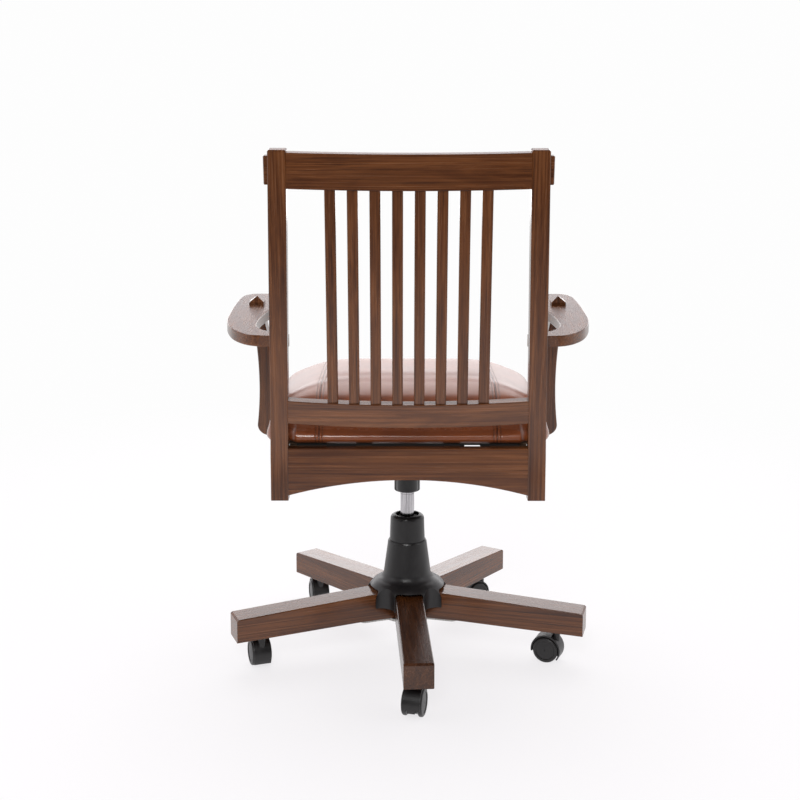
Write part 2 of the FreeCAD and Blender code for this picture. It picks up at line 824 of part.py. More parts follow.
def rounded(corners, radius, z):
    # A level wire through the corners, each rounded by an arc.
    edges = []
    ends = []
    count = len(corners)
    for index in range(count):
        before, here, after = (corners[(index + k) % count] for k in (-1, 0, 1))
        to_before = V(before[0] - here[0], before[1] - here[1], 0).normalize()
        to_after = V(after[0] - here[0], after[1] - here[1], 0).normalize()
        half_turn = (math.pi - to_before.getAngle(to_after)) / 2
        corner = V(here[0], here[1], z)
        cut = radius * math.tan(half_turn)
        middle = (to_before + to_after).normalize() * (radius / math.cos(half_turn) - radius)
        ends.append((corner + to_before * cut, corner + middle, corner + to_after * cut))
    for index in range(count):
        start, via, end = ends[index]
        edges.append(Part.Arc(start, via, end).toShape())
        edges.append(Part.LineSegment(end, ends[(index + 1) % count][0]).toShape())
    return Part.Wire(edges)


def cushion_corners(inset):
    rear, front = cushion_rear - inset, cushion_front + inset
    return [(cushion_rear_half - inset, rear), (inset - cushion_rear_half, rear),
            (inset - cushion_front_half, front), (cushion_front_half - inset, front)]


def cushion_side(y):
    share = (cushion_rear - y) / (cushion_rear - cushion_front)
    return cushion_rear_half + (cushion_front_half - cushion_rear_half) * share


def board_corners(grow):
    rear_half = board_rear_half + grow
    front_half = board_front_half + grow
    return [(rear_half, board_rear + grow), (-rear_half, board_rear + grow),
            (-front_half, board_front - grow), (front_half, board_front - grow)]


def seat_board():
    wire = rounded(board_corners(0), cushion_corner / 2, frame_top)
    return prism(wire, V(0, 0, board_thickness))


def seat_cushion():
    sections = [rounded(cushion_corners(inset), cushion_corner, cushion_bottom + height)
                for height, inset in cushion_sections]
    pad = Part.makeLoft(sections, True, False)
    pocket = rounded(board_corners(soft_gap), cushion_corner / 2 + soft_gap, frame_top - board_thickness)
    pocket = prism(pocket, V(0, 0, 2 * board_thickness + soft_gap))
    top = cushion_bottom * 2
    front = post_back - post_depth - 4 * soft_gap - cushion_corner / 10
    notch = box(cushion_tongue_half, cushion_rear_half * 2, front, cushion_rear * 2, 0, top)
    return pad.cut([pocket, notch, mirrored(notch)])


# Back: the pieces above the bend are built upright and leaned back together.

def raked(shape):
    return spun(shape, -post_rake, V(0, post_back, post_bend_z), along_x)


def post_outer_x(z):
    return post_half_span - max(z - post_lean_z, 0) * tan(post_lean)


def post_side(y_offset):
    # Points of the bent side edge: foot, start of the bend, middle, end, top.
    radius = post_bend_radius - y_offset
    tangent = post_bend_radius * tan(post_rake / 2)
    centre_y = post_back + post_bend_radius
    centre_z = post_bend_z - tangent

    def at(angle):
        return V(0, centre_y - radius * cos(angle), centre_z + radius * sin(angle))

    run = post_length - tangent
    top = at(post_rake) + V(0, run * sin(post_rake), run * cos(post_rake))
    return V(0, post_back + y_offset, post_bottom), at(0), at(post_rake / 2), at(post_rake), top


def rail_tenon(bottom, height, x0, x1, grow):
    middle = post_back - rail_recess - rail_thickness / 2
    half = tenon_thickness / 2 + grow
    z0 = post_bend_z + bottom - grow
    return box(x0, x1, middle - half, middle + half, z0, z0 + height + 2 * grow)


def post_left():
    foot, bend, middle, end, top = post_side(0)
    foot_f, bend_f, middle_f, end_f, top_f = post_side(-post_depth)
    side = prism(outline(foot, bend, (middle, end), top, top_f, end_f, (middle_f, bend_f), foot_f),
                 V(post_half_span * 2, 0, 0))
    high = post_bend_z + post_length * 1.2
    face = outline(V(post_half_span, 0, 0), V(post_half_span, 0, post_lean_z),
                   V(post_outer_x(high), 0, high), V(post_outer_x(high) - post_width, 0, high),
                   V(post_half_span - post_width, 0, post_lean_z), V(post_half_span - post_width, 0, 0))
    post = side.common(prism(face, V(0, post_back * 4, 0)))
    rim = post_bend_z + (post_length - 1) * cos(post_rake)
    ends = edges_where(post, lambda e: e.BoundBox.ZMin > rim)
    post = eased(post.makeChamfer(post_bevel, ends), lambda e: spans(e)[2] > post_depth)
    crest_low = crest_bottom + (crest_height - crest_tenon_height) / 2
    lower_low = lower_rail_bottom + (lower_rail_height - lower_tenon_height) / 2
    blind = post_half_span - post_width + lower_tenon_depth + joint_gap
    through = rail_tenon(crest_low, crest_tenon_height, 0, post_half_span * 2, joint_gap)
    pocket = rail_tenon(lower_low, lower_tenon_height, 0, blind, joint_gap)
    return post.cut([raked(through), raked(pocket)])


def between_posts():
    high = post_bend_z + post_length * 1.2
    low_half = post_half_span - post_width - joint_gap
    high_half = post_outer_x(high) - post_width - joint_gap
    wire = outline(V(-low_half, 0, 0), V(low_half, 0, 0), V(low_half, 0, post_lean_z),
                   V(high_half, 0, high), V(-high_half, 0, high), V(-low_half, 0, post_lean_z))
    return prism(wire, V(0, post_back * 4, 0))


def rail_band(bottom, height):
    back = post_back - rail_recess
    front = back - rail_thickness
    z = post_bend_z + bottom
    chord = rail_half_chord
    ring = outline(V(-chord, back, z), (V(0, back + rail_bow, z), V(chord, back, z)), V(chord, front, z),
                   (V(0, front + rail_bow, z), V(-chord, front, z)))
    band = eased(prism(ring, V(0, 0, height)), lambda e: spans(e)[0] > chord)
    return raked(band).common(between_posts())


def with_tenons(rail, bottom, height, inner_x, end_x, bevel):
    tenon = rail_tenon(bottom, height, inner_x - tenon_overlap, end_x, 0)
    tip = edges_where(tenon, lambda e: spans(e)[0] < 1e-6 and e.CenterOfMass.x > end_x - 1e-6)
    tenon = raked(tenon.makeChamfer(bevel, tip))
    return joined([rail, tenon, mirrored(tenon)])


def slat_spot(index):
    # Middle of a slat across the back and its rear face, on the arc of the rails.
    x = (index - (slat_count - 1) / 2) * slat_pitch
    radius = (rail_half_chord ** 2 + rail_bow ** 2) / (2 * rail_bow)
    y = post_back - rail_recess + rail_bow - radius + math.sqrt(radius ** 2 - x ** 2)
    return x, y - slat_inset


def slat_box(index, grow):
    x, y = slat_spot(index)
    half = slat_width / 2 + grow
    low = post_bend_z + lower_rail_bottom + lower_rail_height - slat_tenon - grow
    high = post_bend_z + crest_bottom + slat_tenon + grow
    return raked(box(x - half, x + half, y - slat_thickness - grow, y + grow, low, high))


def back_slats():
    return [eased(slat_box(index, 0), lambda e: spans(e)[2] > slat_width * 2) for index in range(slat_count)]


def slat_mortises():
    return [slat_box(index, joint_gap) for index in range(slat_count)]


def crest_rail():
    rail = rail_band(crest_bottom, crest_height).cut(slat_mortises())
    low = crest_bottom + (crest_height - crest_tenon_height) / 2
    middle = post_outer_x(post_bend_z + crest_bottom * cos(post_rake))
    return with_tenons(rail, low, crest_tenon_height, middle - post_width, middle + crest_tenon_proud,
                       tenon_bevel)


def lower_rail():
    rail = rail_band(lower_rail_bottom, lower_rail_height).cut(slat_mortises())
    low = lower_rail_bottom + (lower_rail_height - lower_tenon_height) / 2
    inner = post_half_span - post_width
    return with_tenons(rail, low, lower_tenon_height, inner, inner + lower_tenon_depth - joint_gap,
                       tenon_bevel)


# Arms: built level and tipped up towards the front.

def sloped(shape):
    return spun(shape, -arm_slope, V(0, arm_rear_y, arm_top_z), along_x)


def arm_x(across):
    # From the inner face of the post, 0, to the outermost point of the arm, 1.
    inner = post_outer_x(arm_top_z) - post_width
    return inner + across * (arm_half_span - inner)


def arm_y(along):
    # From the front end of the arm, 0, to its rear edge, 1.
    return arm_front + along * (arm_rear_y - arm_front)


def arm_tenon(grow, z0, z1):
    half = arm_tenon_side / 2 + grow
    x = arm_x(arm_tenon_across)
    return box(x - half, x + half, arm_tenon_y - half, arm_tenon_y + half, z0, z1)


def arm_left():
    low = arm_top_z - arm_thickness
    stations = ((0, 1, 0), (0.32, 1, 0), (0.845, 0.837, -70), (1, 0.314, -90), (0.977, 0.102, -94),
                (0.736, 0, 180), (0.532, 0, 180), (0.351, 0.087, 90), (0.351, 0.153, 90),
                (0.528, 0.714, 90), (0.29, 0.908, 142), (0, 0.964, 155))
    plan = flowing(lambda x, y: V(x, y, low), [(arm_x(across), arm_y(along), heading)
                                               for across, along, heading in stations])
    slab = prism(plan, V(0, 0, arm_thickness))
    rims = edges_where(slab, lambda e: spans(e)[2] < 1e-6 and e.CenterOfMass.x > arm_x(0) + 1e-6)
    slab = sloped(slab.makeFillet(arm_edge, rims).cut(arm_tenon(joint_gap, 0, arm_top_z * 2)))
    # The rear end is cut to the front face of the raked post.
    face = post_back - post_depth - joint_gap
    behind = raked(box(0, arm_half_span, face, face + 4 * post_depth, post_bend_z, post_bend_z + arm_top_z))
    return slab.cut(behind)


def arm_support_left():
    y = arm_tenon_y - support_depth / 2
    top = arm_top_z - arm_thickness - joint_gap
    fall = arm_top_z - side_rail_bottom - support_foot_rise
    foot = arm_top_z - (fall + (arm_rear_y - arm_tenon_y) * sin(arm_slope)) / cos(arm_slope)
    tenon_x = arm_x(arm_tenon_across)
    head = tenon_x + arm_tenon_side * 0.45
    rail_x = rail_outer_x(arm_tenon_y)
    out = max(rail_x + support_stand_off, cushion_side(arm_tenon_y) + support_clearance + support_width)
    waist = out - support_width
    hidden = rail_x - apron_thickness / 2

    def level(share):
        return foot + share * (top - foot)

    outer = ((head, top, -106), (out, level(0.452), -90), (out + support_width * 0.2, level(0.107), -83),
             (out - support_width * 0.48, level(0.012), -168), (hidden, foot, 180))
    # The knee of the inner face lies lower where the support stands further out.
    knee = level(0.147) - (out - rail_x - support_stand_off)
    inner = ((hidden, knee, 0), (rail_x + support_width * 0.07, knee, 0),
             (waist, knee + level(0.067) - foot, 90), (waist, level(0.492), 90),
             (head - arm_tenon_side * 0.93, top, 77))
    body = prism(flowing(lambda x, z: V(x, y, z), outer, inner), V(0, support_depth, 0))
    edges = edges_where(body, lambda e: spans(e)[1] < 1e-6 and spans(e)[2] < top / 2
                        and e.CenterOfMass.z < top - 1 and e.CenterOfMass.x > hidden + 1)
    body = body.makeFillet(support_edge, edges)
    plinth = arm_tenon(0, top - 1, arm_top_z + arm_tenon_plinth)
    half = arm_tenon_side / 2
    base = [V(-half, -half, 0), V(half, -half, 0), V(half, half, 0), V(-half, half, 0), V(-half, -half, 0)]
    peak = Part.makeLoft([Part.makePolygon(base), Part.Vertex(0, 0, arm_tenon_point)], True, True)
    peak = moved(peak, tenon_x, arm_tenon_y, arm_top_z + arm_tenon_plinth)
    support = sloped(joined([body, plinth, peak]))
    # The foot lies against the splayed side rail.
    far = frame_front * 2
    inside = outline(V(0, -far, 0), V(rail_outer_x(-far) + joint_gap, -far, 0),
                     V(rail_outer_x(far) + joint_gap, far, 0), V(0, far, 0))
    return support.cut(prism(inside, V(0, 0, frame_top + soft_gap)))


# Casters: built with the swivel axis on Z and the wheels trailing along +Y.

def placed_caster(shape, index):
    angle = leg_angle(index)
    turned_shape = spun(shape, caster_headings[index])
    return moved(turned_shape, -caster_radius * sin(angle), caster_radius * cos(angle), 0)


def wheel_room():
    reach = wheel_radius + hood_gap
    side = cross_cylinder(reach, hood_web_half, wheel_outer_x * 2, caster_trail, wheel_radius)
    return [side, mirrored(side)]


def caster_hood():
    inner = wheel_radius + hood_gap
    outer = inner + hood_wall

    def at(radius, angle):
        return V(-hood_half_width, caster_trail + radius * cos(angle), wheel_radius + radius * sin(angle))

    first, last = hood_trailing_end, hood_leading_end
    middle = (first + last) / 2
    low, high = (first + middle) / 2, (middle + last) / 2
    band = outline(at(outer, first), (at(outer, low), at(outer, middle)), (at(outer, high), at(outer, last)),
                   at(inner, last), (at(inner, high), at(inner, middle)), (at(inner, low), at(inner, first)))
    fender = prism(band, V(2 * hood_half_width, 0, 0))
    web = cross_cylinder(inner + hood_wall / 2, -hood_web_half, hood_web_half, caster_trail, wheel_radius)
    keep = box(-hood_half_width, hood_half_width, -outer, caster_trail + outer,
               wheel_radius / 2, wheel_radius * 3)
    core = cross_cylinder(wheel_radius - hood_web_rise, -hood_web_half, hood_web_half, caster_trail,
                          wheel_radius)
    collar_top = socket_flange_bottom - 5 * joint_gap
    collar = cylinder(hood_collar_radius, wheel_radius + inner / 2, collar_top)
    stem = cylinder(stem_radius + running_gap, stem_bottom, collar_top * 2)
    axle = cross_cylinder(axle_radius + running_gap, -hood_half_width, hood_half_width, caster_trail,
                          wheel_radius)
    return joined([fender, web.common(keep), core, collar.cut(wheel_room())]).cut([stem, axle])


def caster_pins():
    stem = cylinder(stem_radius, stem_bottom, stem_top)
    crown = edges_where(stem, lambda e: e.CenterOfMass.z > stem_top - 1e-6 and spans(e)[2] < 1e-6)
    stem = stem.makeChamfer(stem_radius * 0.3, crown)
    axle = cross_cylinder(axle_radius, -axle_half_length, axle_half_length, caster_trail, wheel_radius)
    notch = cross_cylinder(axle_radius * 2, -axle_half_length, axle_half_length, caster_trail, wheel_radius)
    return [stem.cut(notch), axle]


def caster_wheel():
    width = wheel_outer_x - wheel_inner_x
    bore = axle_radius + running_gap
    depth = axle_half_length - wheel_inner_x + running_gap
    r = wheel_radius
    bend = wheel_round * (1 - cos(45))
    rim = r - wheel_round * 1.6
    dish = rim - wheel_face_recess
    face = width - wheel_face_recess
    ball = (dish ** 2 + wheel_dome ** 2) / (2 * wheel_dome)
    via = face + wheel_dome - ball + math.sqrt(ball ** 2 - dish ** 2 / 4)
    wheel = turned(outline(V(bore, 0, 0), V(r - wheel_round / 2, 0, 0), V(r, 0, wheel_round / 2),
                           V(r, 0, width - wheel_round),
                           (V(r - bend, 0, width - bend), V(r - wheel_round, 0, width)),
                           V(rim, 0, width), V(dish, 0, face),
                           (V(dish / 2, 0, via), V(0, 0, face + wheel_dome)),
                           V(0, 0, depth), V(bore, 0, depth)))
    wheel = spun(wheel, 90, origin, V(0, 1, 0))
    return moved(wheel, wheel_inner_x, caster_trail, wheel_radius)


def all_pieces():
    pieces = {
        "base_hub": [base_hub()],
        "leg_bolts": leg_bolts(),
        "caster_sockets": on_legs(caster_socket()),
        "hub_cover": [hub_cover()],
        "column_sleeve": [column_sleeve()],
        "column_tube": [column_tube()],
        "column_bush": [column_bush()],
        "thrust_bearing": [thrust_bearing()],
        "gas_rod": [gas_rod()],
        "retaining_clip": [retaining_clip()],
        "gas_cylinder": [gas_cylinder()],
        "release_pin": [release_pin()],
        "tilt_housing": [tilt_housing()],
        "tilt_pin": [tilt_pin()],
        "tilt_spring": [tilt_spring()],
        "tension_knob": [tension_knob()],
        "lift_lever": [lift_lever()],
        "seat_plate": [seat_plate()],
        "plate_bolts": plate_bolts(),
        "rear_apron": [rear_apron()],
        "front_apron": [front_apron()],
        "side_rail_left": [side_rail()],
        "side_rail_right": [mirrored(side_rail())],
        "seat_bearers": seat_bearers(),
        "seat_board": [seat_board()],
        "seat_cushion": [seat_cushion()],
        "post_left": [post_left()],
        "post_right": [mirrored(post_left())],
        "crest_rail": [crest_rail()],
        "lower_rail": [lower_rail()],
        "back_slats": back_slats(),
        "arm_left": [arm_left()],
        "arm_right": [mirrored(arm_left())],
        "arm_support_left": [arm_support_left()],
        "arm_support_right": [mirrored(arm_support_left())],
    }
    for index, shape in enumerate(on_legs(leg())):
        pieces[f"leg_{index + 1}"] = [shape]
    hood, pins, wheel = caster_hood(), caster_pins(), caster_wheel()
    for index in range(leg_count):
        name = f"caster_{index + 1}"
        pieces[name + "_hood"] = [placed_caster(hood, index)]
        pieces[name + "_pins"] = [placed_caster(pin, index) for pin in pins]
        pieces[name + "_wheel_left"] = [placed_caster(wheel, index)]
        pieces[name + "_wheel_right"] = [placed_caster(mirrored(wheel), index)]
    return pieces


os.makedirs("parts", exist_ok=True)
for name, solids in all_pieces().items():
    shape = solids[0] if len(solids) == 1 else Part.makeCompound(solids)
    shape.exportStep(f"parts/{name}.step")
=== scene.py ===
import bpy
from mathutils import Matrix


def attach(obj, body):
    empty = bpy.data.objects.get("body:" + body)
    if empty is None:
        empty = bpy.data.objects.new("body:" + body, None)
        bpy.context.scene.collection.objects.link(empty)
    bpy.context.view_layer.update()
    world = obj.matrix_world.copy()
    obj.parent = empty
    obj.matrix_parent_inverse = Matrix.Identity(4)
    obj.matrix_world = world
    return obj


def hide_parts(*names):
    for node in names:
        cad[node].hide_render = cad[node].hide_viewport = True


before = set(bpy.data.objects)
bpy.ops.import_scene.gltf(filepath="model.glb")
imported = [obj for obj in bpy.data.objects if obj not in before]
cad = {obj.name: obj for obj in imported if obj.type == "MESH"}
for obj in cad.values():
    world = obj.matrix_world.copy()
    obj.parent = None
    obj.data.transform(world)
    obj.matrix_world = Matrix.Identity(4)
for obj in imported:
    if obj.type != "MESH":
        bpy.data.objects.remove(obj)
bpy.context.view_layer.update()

import math
import bpy
import bmesh
from mathutils import Vector
from mathutils.bvhtree import BVHTree

scene = bpy.context.scene
quarter = math.pi / 2
print("chair: frame loaded,", len(cad), "pieces")


# small helpers

def linkObject(name, data):
    obj = bpy.data.objects.new(name, data)
    scene.collection.objects.link(obj)
    return obj


def freshMesh(obj):
    # the evaluated result of the modifiers as a plain mesh
    graph = bpy.context.evaluated_depsgraph_get()
    graph.update()
    return bpy.data.meshes.new_from_object(obj.evaluated_get(graph), depsgraph=graph)


def bake(obj):
    mesh = freshMesh(obj)
    obj.modifiers.clear()
    old = obj.data
    obj.data = mesh
    bpy.data.meshes.remove(old)


def paint(obj, material):
    obj.data.materials.clear()
    obj.data.materials.append(material)


def dress(node, material):
    # a CAD piece keeps its mesh and gets a finish in every slot
    obj = cad[node]
    if not obj.material_slots:
        obj.data.materials.append(material)
    for slot in obj.material_slots:
        slot.material = material


def clamped(value, low, high):
    return min(max((value - low) / (high - low), 0.0), 1.0)


def stepped(value, low, high):
    share = clamped(value, low, high)
    return share * share * (3.0 - 2.0 * share)


def hump(value, half):
    return math.exp(-(value / half) ** 2)


# nodes of materials, the world and the stitches

class Nodes:
    # a node tree with short ways to add and join its nodes
    def __init__(self, tree):
        self.tree = tree

    def node(self, kind, **values):
        made = self.tree.nodes.new(kind)
        for key, value in values.items():
            setattr(made, key, value)
        return made

    def join(self, source, target):
        self.tree.links.new(source, target)

    def feed(self, value, socket):
        # a value is another node's output, a colour or a number
        if isinstance(value, bpy.types.NodeSocket):
            self.join(value, socket)
        else:
            socket.default_value = (*value, 1) if isinstance(value, tuple) else value

    def count(self, operation, first, second=None):
        made = self.node("ShaderNodeMath", operation=operation)
        self.join(first, made.inputs[0])
        if second is not None:
            self.feed(second, made.inputs[1])
        return made.outputs[0]

    def axes(self, vector):
        made = self.node("ShaderNodeSeparateXYZ")
        self.join(vector, made.inputs[0])
        return made.outputs

    def mixColour(self, factor, first, second):
        made = self.node("ShaderNodeMix", data_type="RGBA")
        for value, place in ((factor, 0), (first, 6), (second, 7)):
            self.feed(value, made.inputs[place])
        return made.outputs[2]

    def span(self, value, low, high, start=0.0, end=1.0):
        made = self.node("ShaderNodeMapRange")
        for key, number in (("From Min", start), ("From Max", end), ("To Min", low), ("To Max", high)):
            made.inputs[key].default_value = number
        self.join(value, made.inputs["Value"])
        return made.outputs["Result"]


class Shader(Nodes):
    # a material round one Principled surface
    def __init__(self, name):
        self.material = bpy.data.materials.new(name)
        self.material.use_nodes = True
        super().__init__(self.material.node_tree)
        self.body = self.tree.nodes["Principled BSDF"]

    def finish(self, **values):
        for key, value in values.items():
            self.feed(value, self.body.inputs[key.replace("_", " ")])
        return self.material

    def place(self, rotation=(0, 0, 0), scale=(1, 1, 1), shift=(0, 0, 0)):
        # turned and moved first, then stretched, so that the stretch follows the turned axes
        coords = self.node("ShaderNodeTexCoord")
        mapping = self.node("ShaderNodeMapping")
        mapping.inputs["Rotation"].default_value = rotation
        mapping.inputs["Location"].default_value = shift
        stretch = self.node("ShaderNodeVectorMath", operation="MULTIPLY")
        stretch.inputs[1].default_value = scale
        self.join(coords.outputs["Object"], mapping.inputs["Vector"])
        self.join(mapping.outputs["Vector"], stretch.inputs[0])
        return stretch.outputs[0]

    def noise(self, vector, scale, detail, roughness, distortion=0.0):
        made = self.node("ShaderNodeTexNoise")
        for key, value in (("Scale", scale), ("Detail", detail), ("Roughness", roughness),
                           ("Distortion", distortion)):
            made.inputs[key].default_value = value
        self.join(vector, made.inputs["Vector"])
        return made.outputs["Fac"]

    def ramp(self, factor, *stops):
        made = self.node("ShaderNodeValToRGB")
        elements = made.color_ramp.elements
        while len(elements) < len(stops):
            elements.new(0.5)
        for element, (position, colour) in zip(elements, stops):
            element.position = position
            element.color = (*colour, 1)
        self.join(factor, made.inputs["Fac"])
        return made.outputs["Color"]

    def bump(self, height, strength, distance):
        made = self.node("ShaderNodeBump")
        made.inputs["Strength"].default_value = strength
        made.inputs["Distance"].default_value = distance
        self.join(height, made.inputs["Height"])
        return made.outputs["Normal"]


# materials: a noise is scale, detail, roughness and distortion, a span is where it starts and ends,
# and a relief is the strength and depth of a bump

walnutLook = {
    "shade": ((0.34, (0.045, 0.0125, 0.0036)), (0.50, (0.086, 0.0260, 0.0072)),
              (0.66, (0.118, 0.0385, 0.0110))),
    "sun": ((0.34, (0.076, 0.0225, 0.0062)), (0.50, (0.138, 0.0450, 0.0125)),
            (0.66, (0.178, 0.0620, 0.0180))),
    "figure": (1.1, 9.0, 9.0), "figureNoise": (3.2, 5.0, 0.6, 1.2), "figureSpan": (0.38, 0.62),
    "streak": (2.6, 250.0, 250.0), "streakNoise": (1.0, 4.0, 0.65, 0.4), "streakSpan": (0.3, 0.7),
    "pores": (5.0, 560.0, 560.0), "poresNoise": (1.0, 2.0, 0.7), "poresSpan": (0.55, 0.72),
    "pore": (0.020, 0.006, 0.0025), "pored": 0.8, "relief": (0.08, -0.0002), "spread": (3.7, 1.3, 2.1),
    "rough": (0.20, 0.30), "coat": 0.12, "coatRough": 0.2,
}


def walnut(name, turn, shift, tone=1.0, depth=1.0):
    # stained wood, its grain along the X axis of the turned pattern
    # a low depth keeps the lines whole on bent and leaning pieces
    look = walnutLook
    wood = Shader(name)
    moved = tuple(shift * part for part in look["spread"])

    def pattern(key):
        along, deep, across = look[key]
        return wood.noise(wood.place(turn, (along, deep * depth, across), moved), *look[key + "Noise"])

    def stained(key):
        return [(spot, tuple(tone * part for part in colour)) for spot, colour in look[key]]

    figure, lines, pores = pattern("figure"), pattern("streak"), pattern("pores")
    timber = wood.mixColour(wood.span(figure, 0.0, 1.0, *look["figureSpan"]),
                            wood.ramp(lines, *stained("shade")), wood.ramp(lines, *stained("sun")))
    opened = wood.span(pores, 0.0, look["pored"], *look["poresSpan"])
    return wood.finish(Base_Color=wood.mixColour(opened, timber, look["pore"]),
                       Roughness=wood.span(lines, *look["rough"], *look["streakSpan"]),
                       Normal=wood.bump(opened, *look["relief"]),
                       Coat_Weight=look["coat"], Coat_Roughness=look["coatRough"])


# the seat board and bearers are wood grain in dark brown, kept dark as painted shade for the narrow gap where
# they show under the cushion
shadedBoardLook = {
    "stretch": (3.0, 90.0, 90.0), "noise": (1.0, 3.0, 0.6, 0.4), "relief": (0.2, 0.0003), "rough": 0.7,
    "stops": ((0.3, (0.055, 0.030, 0.016)), (0.55, (0.085, 0.048, 0.026)), (0.8, (0.12, 0.07, 0.038))),
}


def plainWood(name):
    look = shadedBoardLook
    ply = Shader(name)
    grain = ply.noise(ply.place(scale=look["stretch"]), *look["noise"])
    return ply.finish(Base_Color=ply.ramp(grain, *look["stops"]), Normal=ply.bump(grain, *look["relief"]),
                      Roughness=look["rough"])


mouldingLook = {
    "fine": (2.0, 0.5), "relief": (0.25, 0.00015), "cloud": (22.0, 3.0, 0.6), "cloudStops": (0.35, 0.75),
    "lighter": 1.7, "lift": 0.003, "smoother": 0.05, "rougher": 0.07, "roughSpan": (0.3, 0.7),
}


def blackMoulding(name, colour, rough, grain):
    # moulded plastic, paint or cloth with a fine texture
    look = mouldingLook
    skin = Shader(name)
    place = skin.place()
    fine = skin.noise(place, grain, *look["fine"])
    cloud = skin.noise(place, *look["cloud"])
    lighter = tuple(part * look["lighter"] + look["lift"] for part in colour)
    worn = skin.span(cloud, rough - look["smoother"], rough + look["rougher"], *look["roughSpan"])
    return skin.finish(Base_Color=skin.ramp(cloud, *zip(look["cloudStops"], (colour, lighter))),
                       Roughness=worn, Normal=skin.bump(fine, *look["relief"]))


metalLook = {
    "drawn": (420.0, 420.0, 14.0), "drawnNoise": (1.0, 3.0, 0.6), "drawnStops": (0.36, 0.58), "darker": 0.45,
    "spots": (700.0, 2.0, 0.6), "spotSpan": (0.64, 0.74), "spotted": 0.7, "dull": 0.35,
    "roughSpan": (0.3, 0.7),
}


def metal(name, colour, rough, scratch):
    # drawn marks along the height and small dull spots
    look = metalLook
    shaft = Shader(name)
    drawn = shaft.noise(shaft.place(scale=look["drawn"]), *look["drawnNoise"])
    spots = shaft.noise(shaft.place(), *look["spots"])
    dark, dull = (tuple(part * look[key] for part in colour) for key in ("darker", "dull"))
    marked = shaft.ramp(drawn, *zip(look["drawnStops"], (dark, colour)))
    spotted = shaft.span(spots, 0.0, look["spotted"], *look["spotSpan"])
    return shaft.finish(Base_Color=shaft.mixColour(spotted, marked, dull), Metallic=1.0,
                        Roughness=shaft.span(drawn, rough, rough + scratch, *look["roughSpan"]))


# the two seams of the cushion, drawn on the leather here and sewn further down
seamPlan = {
    "x": 0.164, "row": 0.0062, "reach": 0.014, "fade": 0.008,
    "groove": 0.0018, "grooveHalf": 0.0013, "dent": 0.0008, "dentHalf": 0.0014,
    "ridge": 0.0005, "ridgeAway": 0.0038, "ridgeHalf": 0.002,
    "loops": (0.0008, 0.002, 0.004, 0.0065, 0.0075, 0.0085, 0.0105),
}

leatherLook = {
    "deep": (0.165, 0.0390, 0.0100), "tan": (0.250, 0.0640, 0.0175), "line": (0.062, 0.0155, 0.0050),
    "cloud": (9.0, 4.0, 0.6, 0.6), "cloudStops": (0.25, 0.6), "grain": 620.0, "pebble": (0.0, 0.28),
    "pebbleDark": (0.10, 0.0, 0.0, 0.6), "crease": (140.0, 3.0, 0.6), "relief": (0.03, 0.0004),
    "rough": (0.38, 0.44), "roughSpan": (0.3, 0.7), "edgeZ": (0.497, 0.520), "polish": 0.55,
    "seamLine": (0.75, 0.0, 0.0008, 0.0020), "rowLine": (0.55, 0.0, 0.0008, 0.0018),
}


def seamLines(hide, across):
    # how far a point lies inside the drawn-in lines of the seam and its two rows of stitches
    away = hide.count("ABSOLUTE", hide.count("SUBTRACT", hide.count("ABSOLUTE", across), seamPlan["x"]))
    row = hide.count("ABSOLUTE", hide.count("SUBTRACT", away, seamPlan["row"]))
    return hide.count("MAXIMUM", hide.span(away, *leatherLook["seamLine"]),
                      hide.span(row, *leatherLook["rowLine"]))


def leather(name):
    look = leatherLook
    hide = Shader(name)
    place = hide.place()
    axes = hide.axes(place)
    cloud = hide.noise(place, *look["cloud"])
    tone = hide.ramp(cloud, *zip(look["cloudStops"], (look["deep"], look["tan"])))
    cells = hide.node("ShaderNodeTexVoronoi", feature="DISTANCE_TO_EDGE")
    cells.inputs["Scale"].default_value = look["grain"]
    hide.join(place, cells.inputs["Vector"])
    pebble = hide.span(cells.outputs["Distance"], 0.0, 1.0, *look["pebble"])
    grained = hide.mixColour(hide.span(pebble, *look["pebbleDark"]), tone, look["deep"])
    crease = hide.noise(place, *look["crease"])
    # the rolled edge is stretched tight and shines more than the top
    rough = hide.count("MULTIPLY", hide.span(crease, *look["rough"], *look["roughSpan"]),
                       hide.span(axes["Z"], look["polish"], 1.0, *look["edgeZ"]))
    return hide.finish(Base_Color=hide.mixColour(seamLines(hide, axes["X"]), grained, look["line"]),
                       Roughness=rough, Normal=hide.bump(crease, *look["relief"]), IOR=1.55,
                       Coat_Weight=0.35, Coat_Roughness=0.32, Sheen_Weight=0.05, Sheen_Roughness=0.4)


threadLook = {"twist": 900.0, "stops": ((0.2, (0.13, 0.045, 0.016)), (0.8, (0.30, 0.115, 0.045))),
              "relief": (0.4, 0.0002), "rough": 0.6}


def thread(name):
    look = threadLook
    twist = Shader(name)
    wave = twist.node("ShaderNodeTexWave", wave_type="BANDS", bands_direction="DIAGONAL")
    wave.inputs["Scale"].default_value = look["twist"]
    twist.join(twist.place(), wave.inputs["Vector"])
    return twist.finish(Base_Color=twist.ramp(wave.outputs["Fac"], *look["stops"]),
                        Normal=twist.bump(wave.outputs["Fac"], *look["relief"]), Roughness=look["rough"])


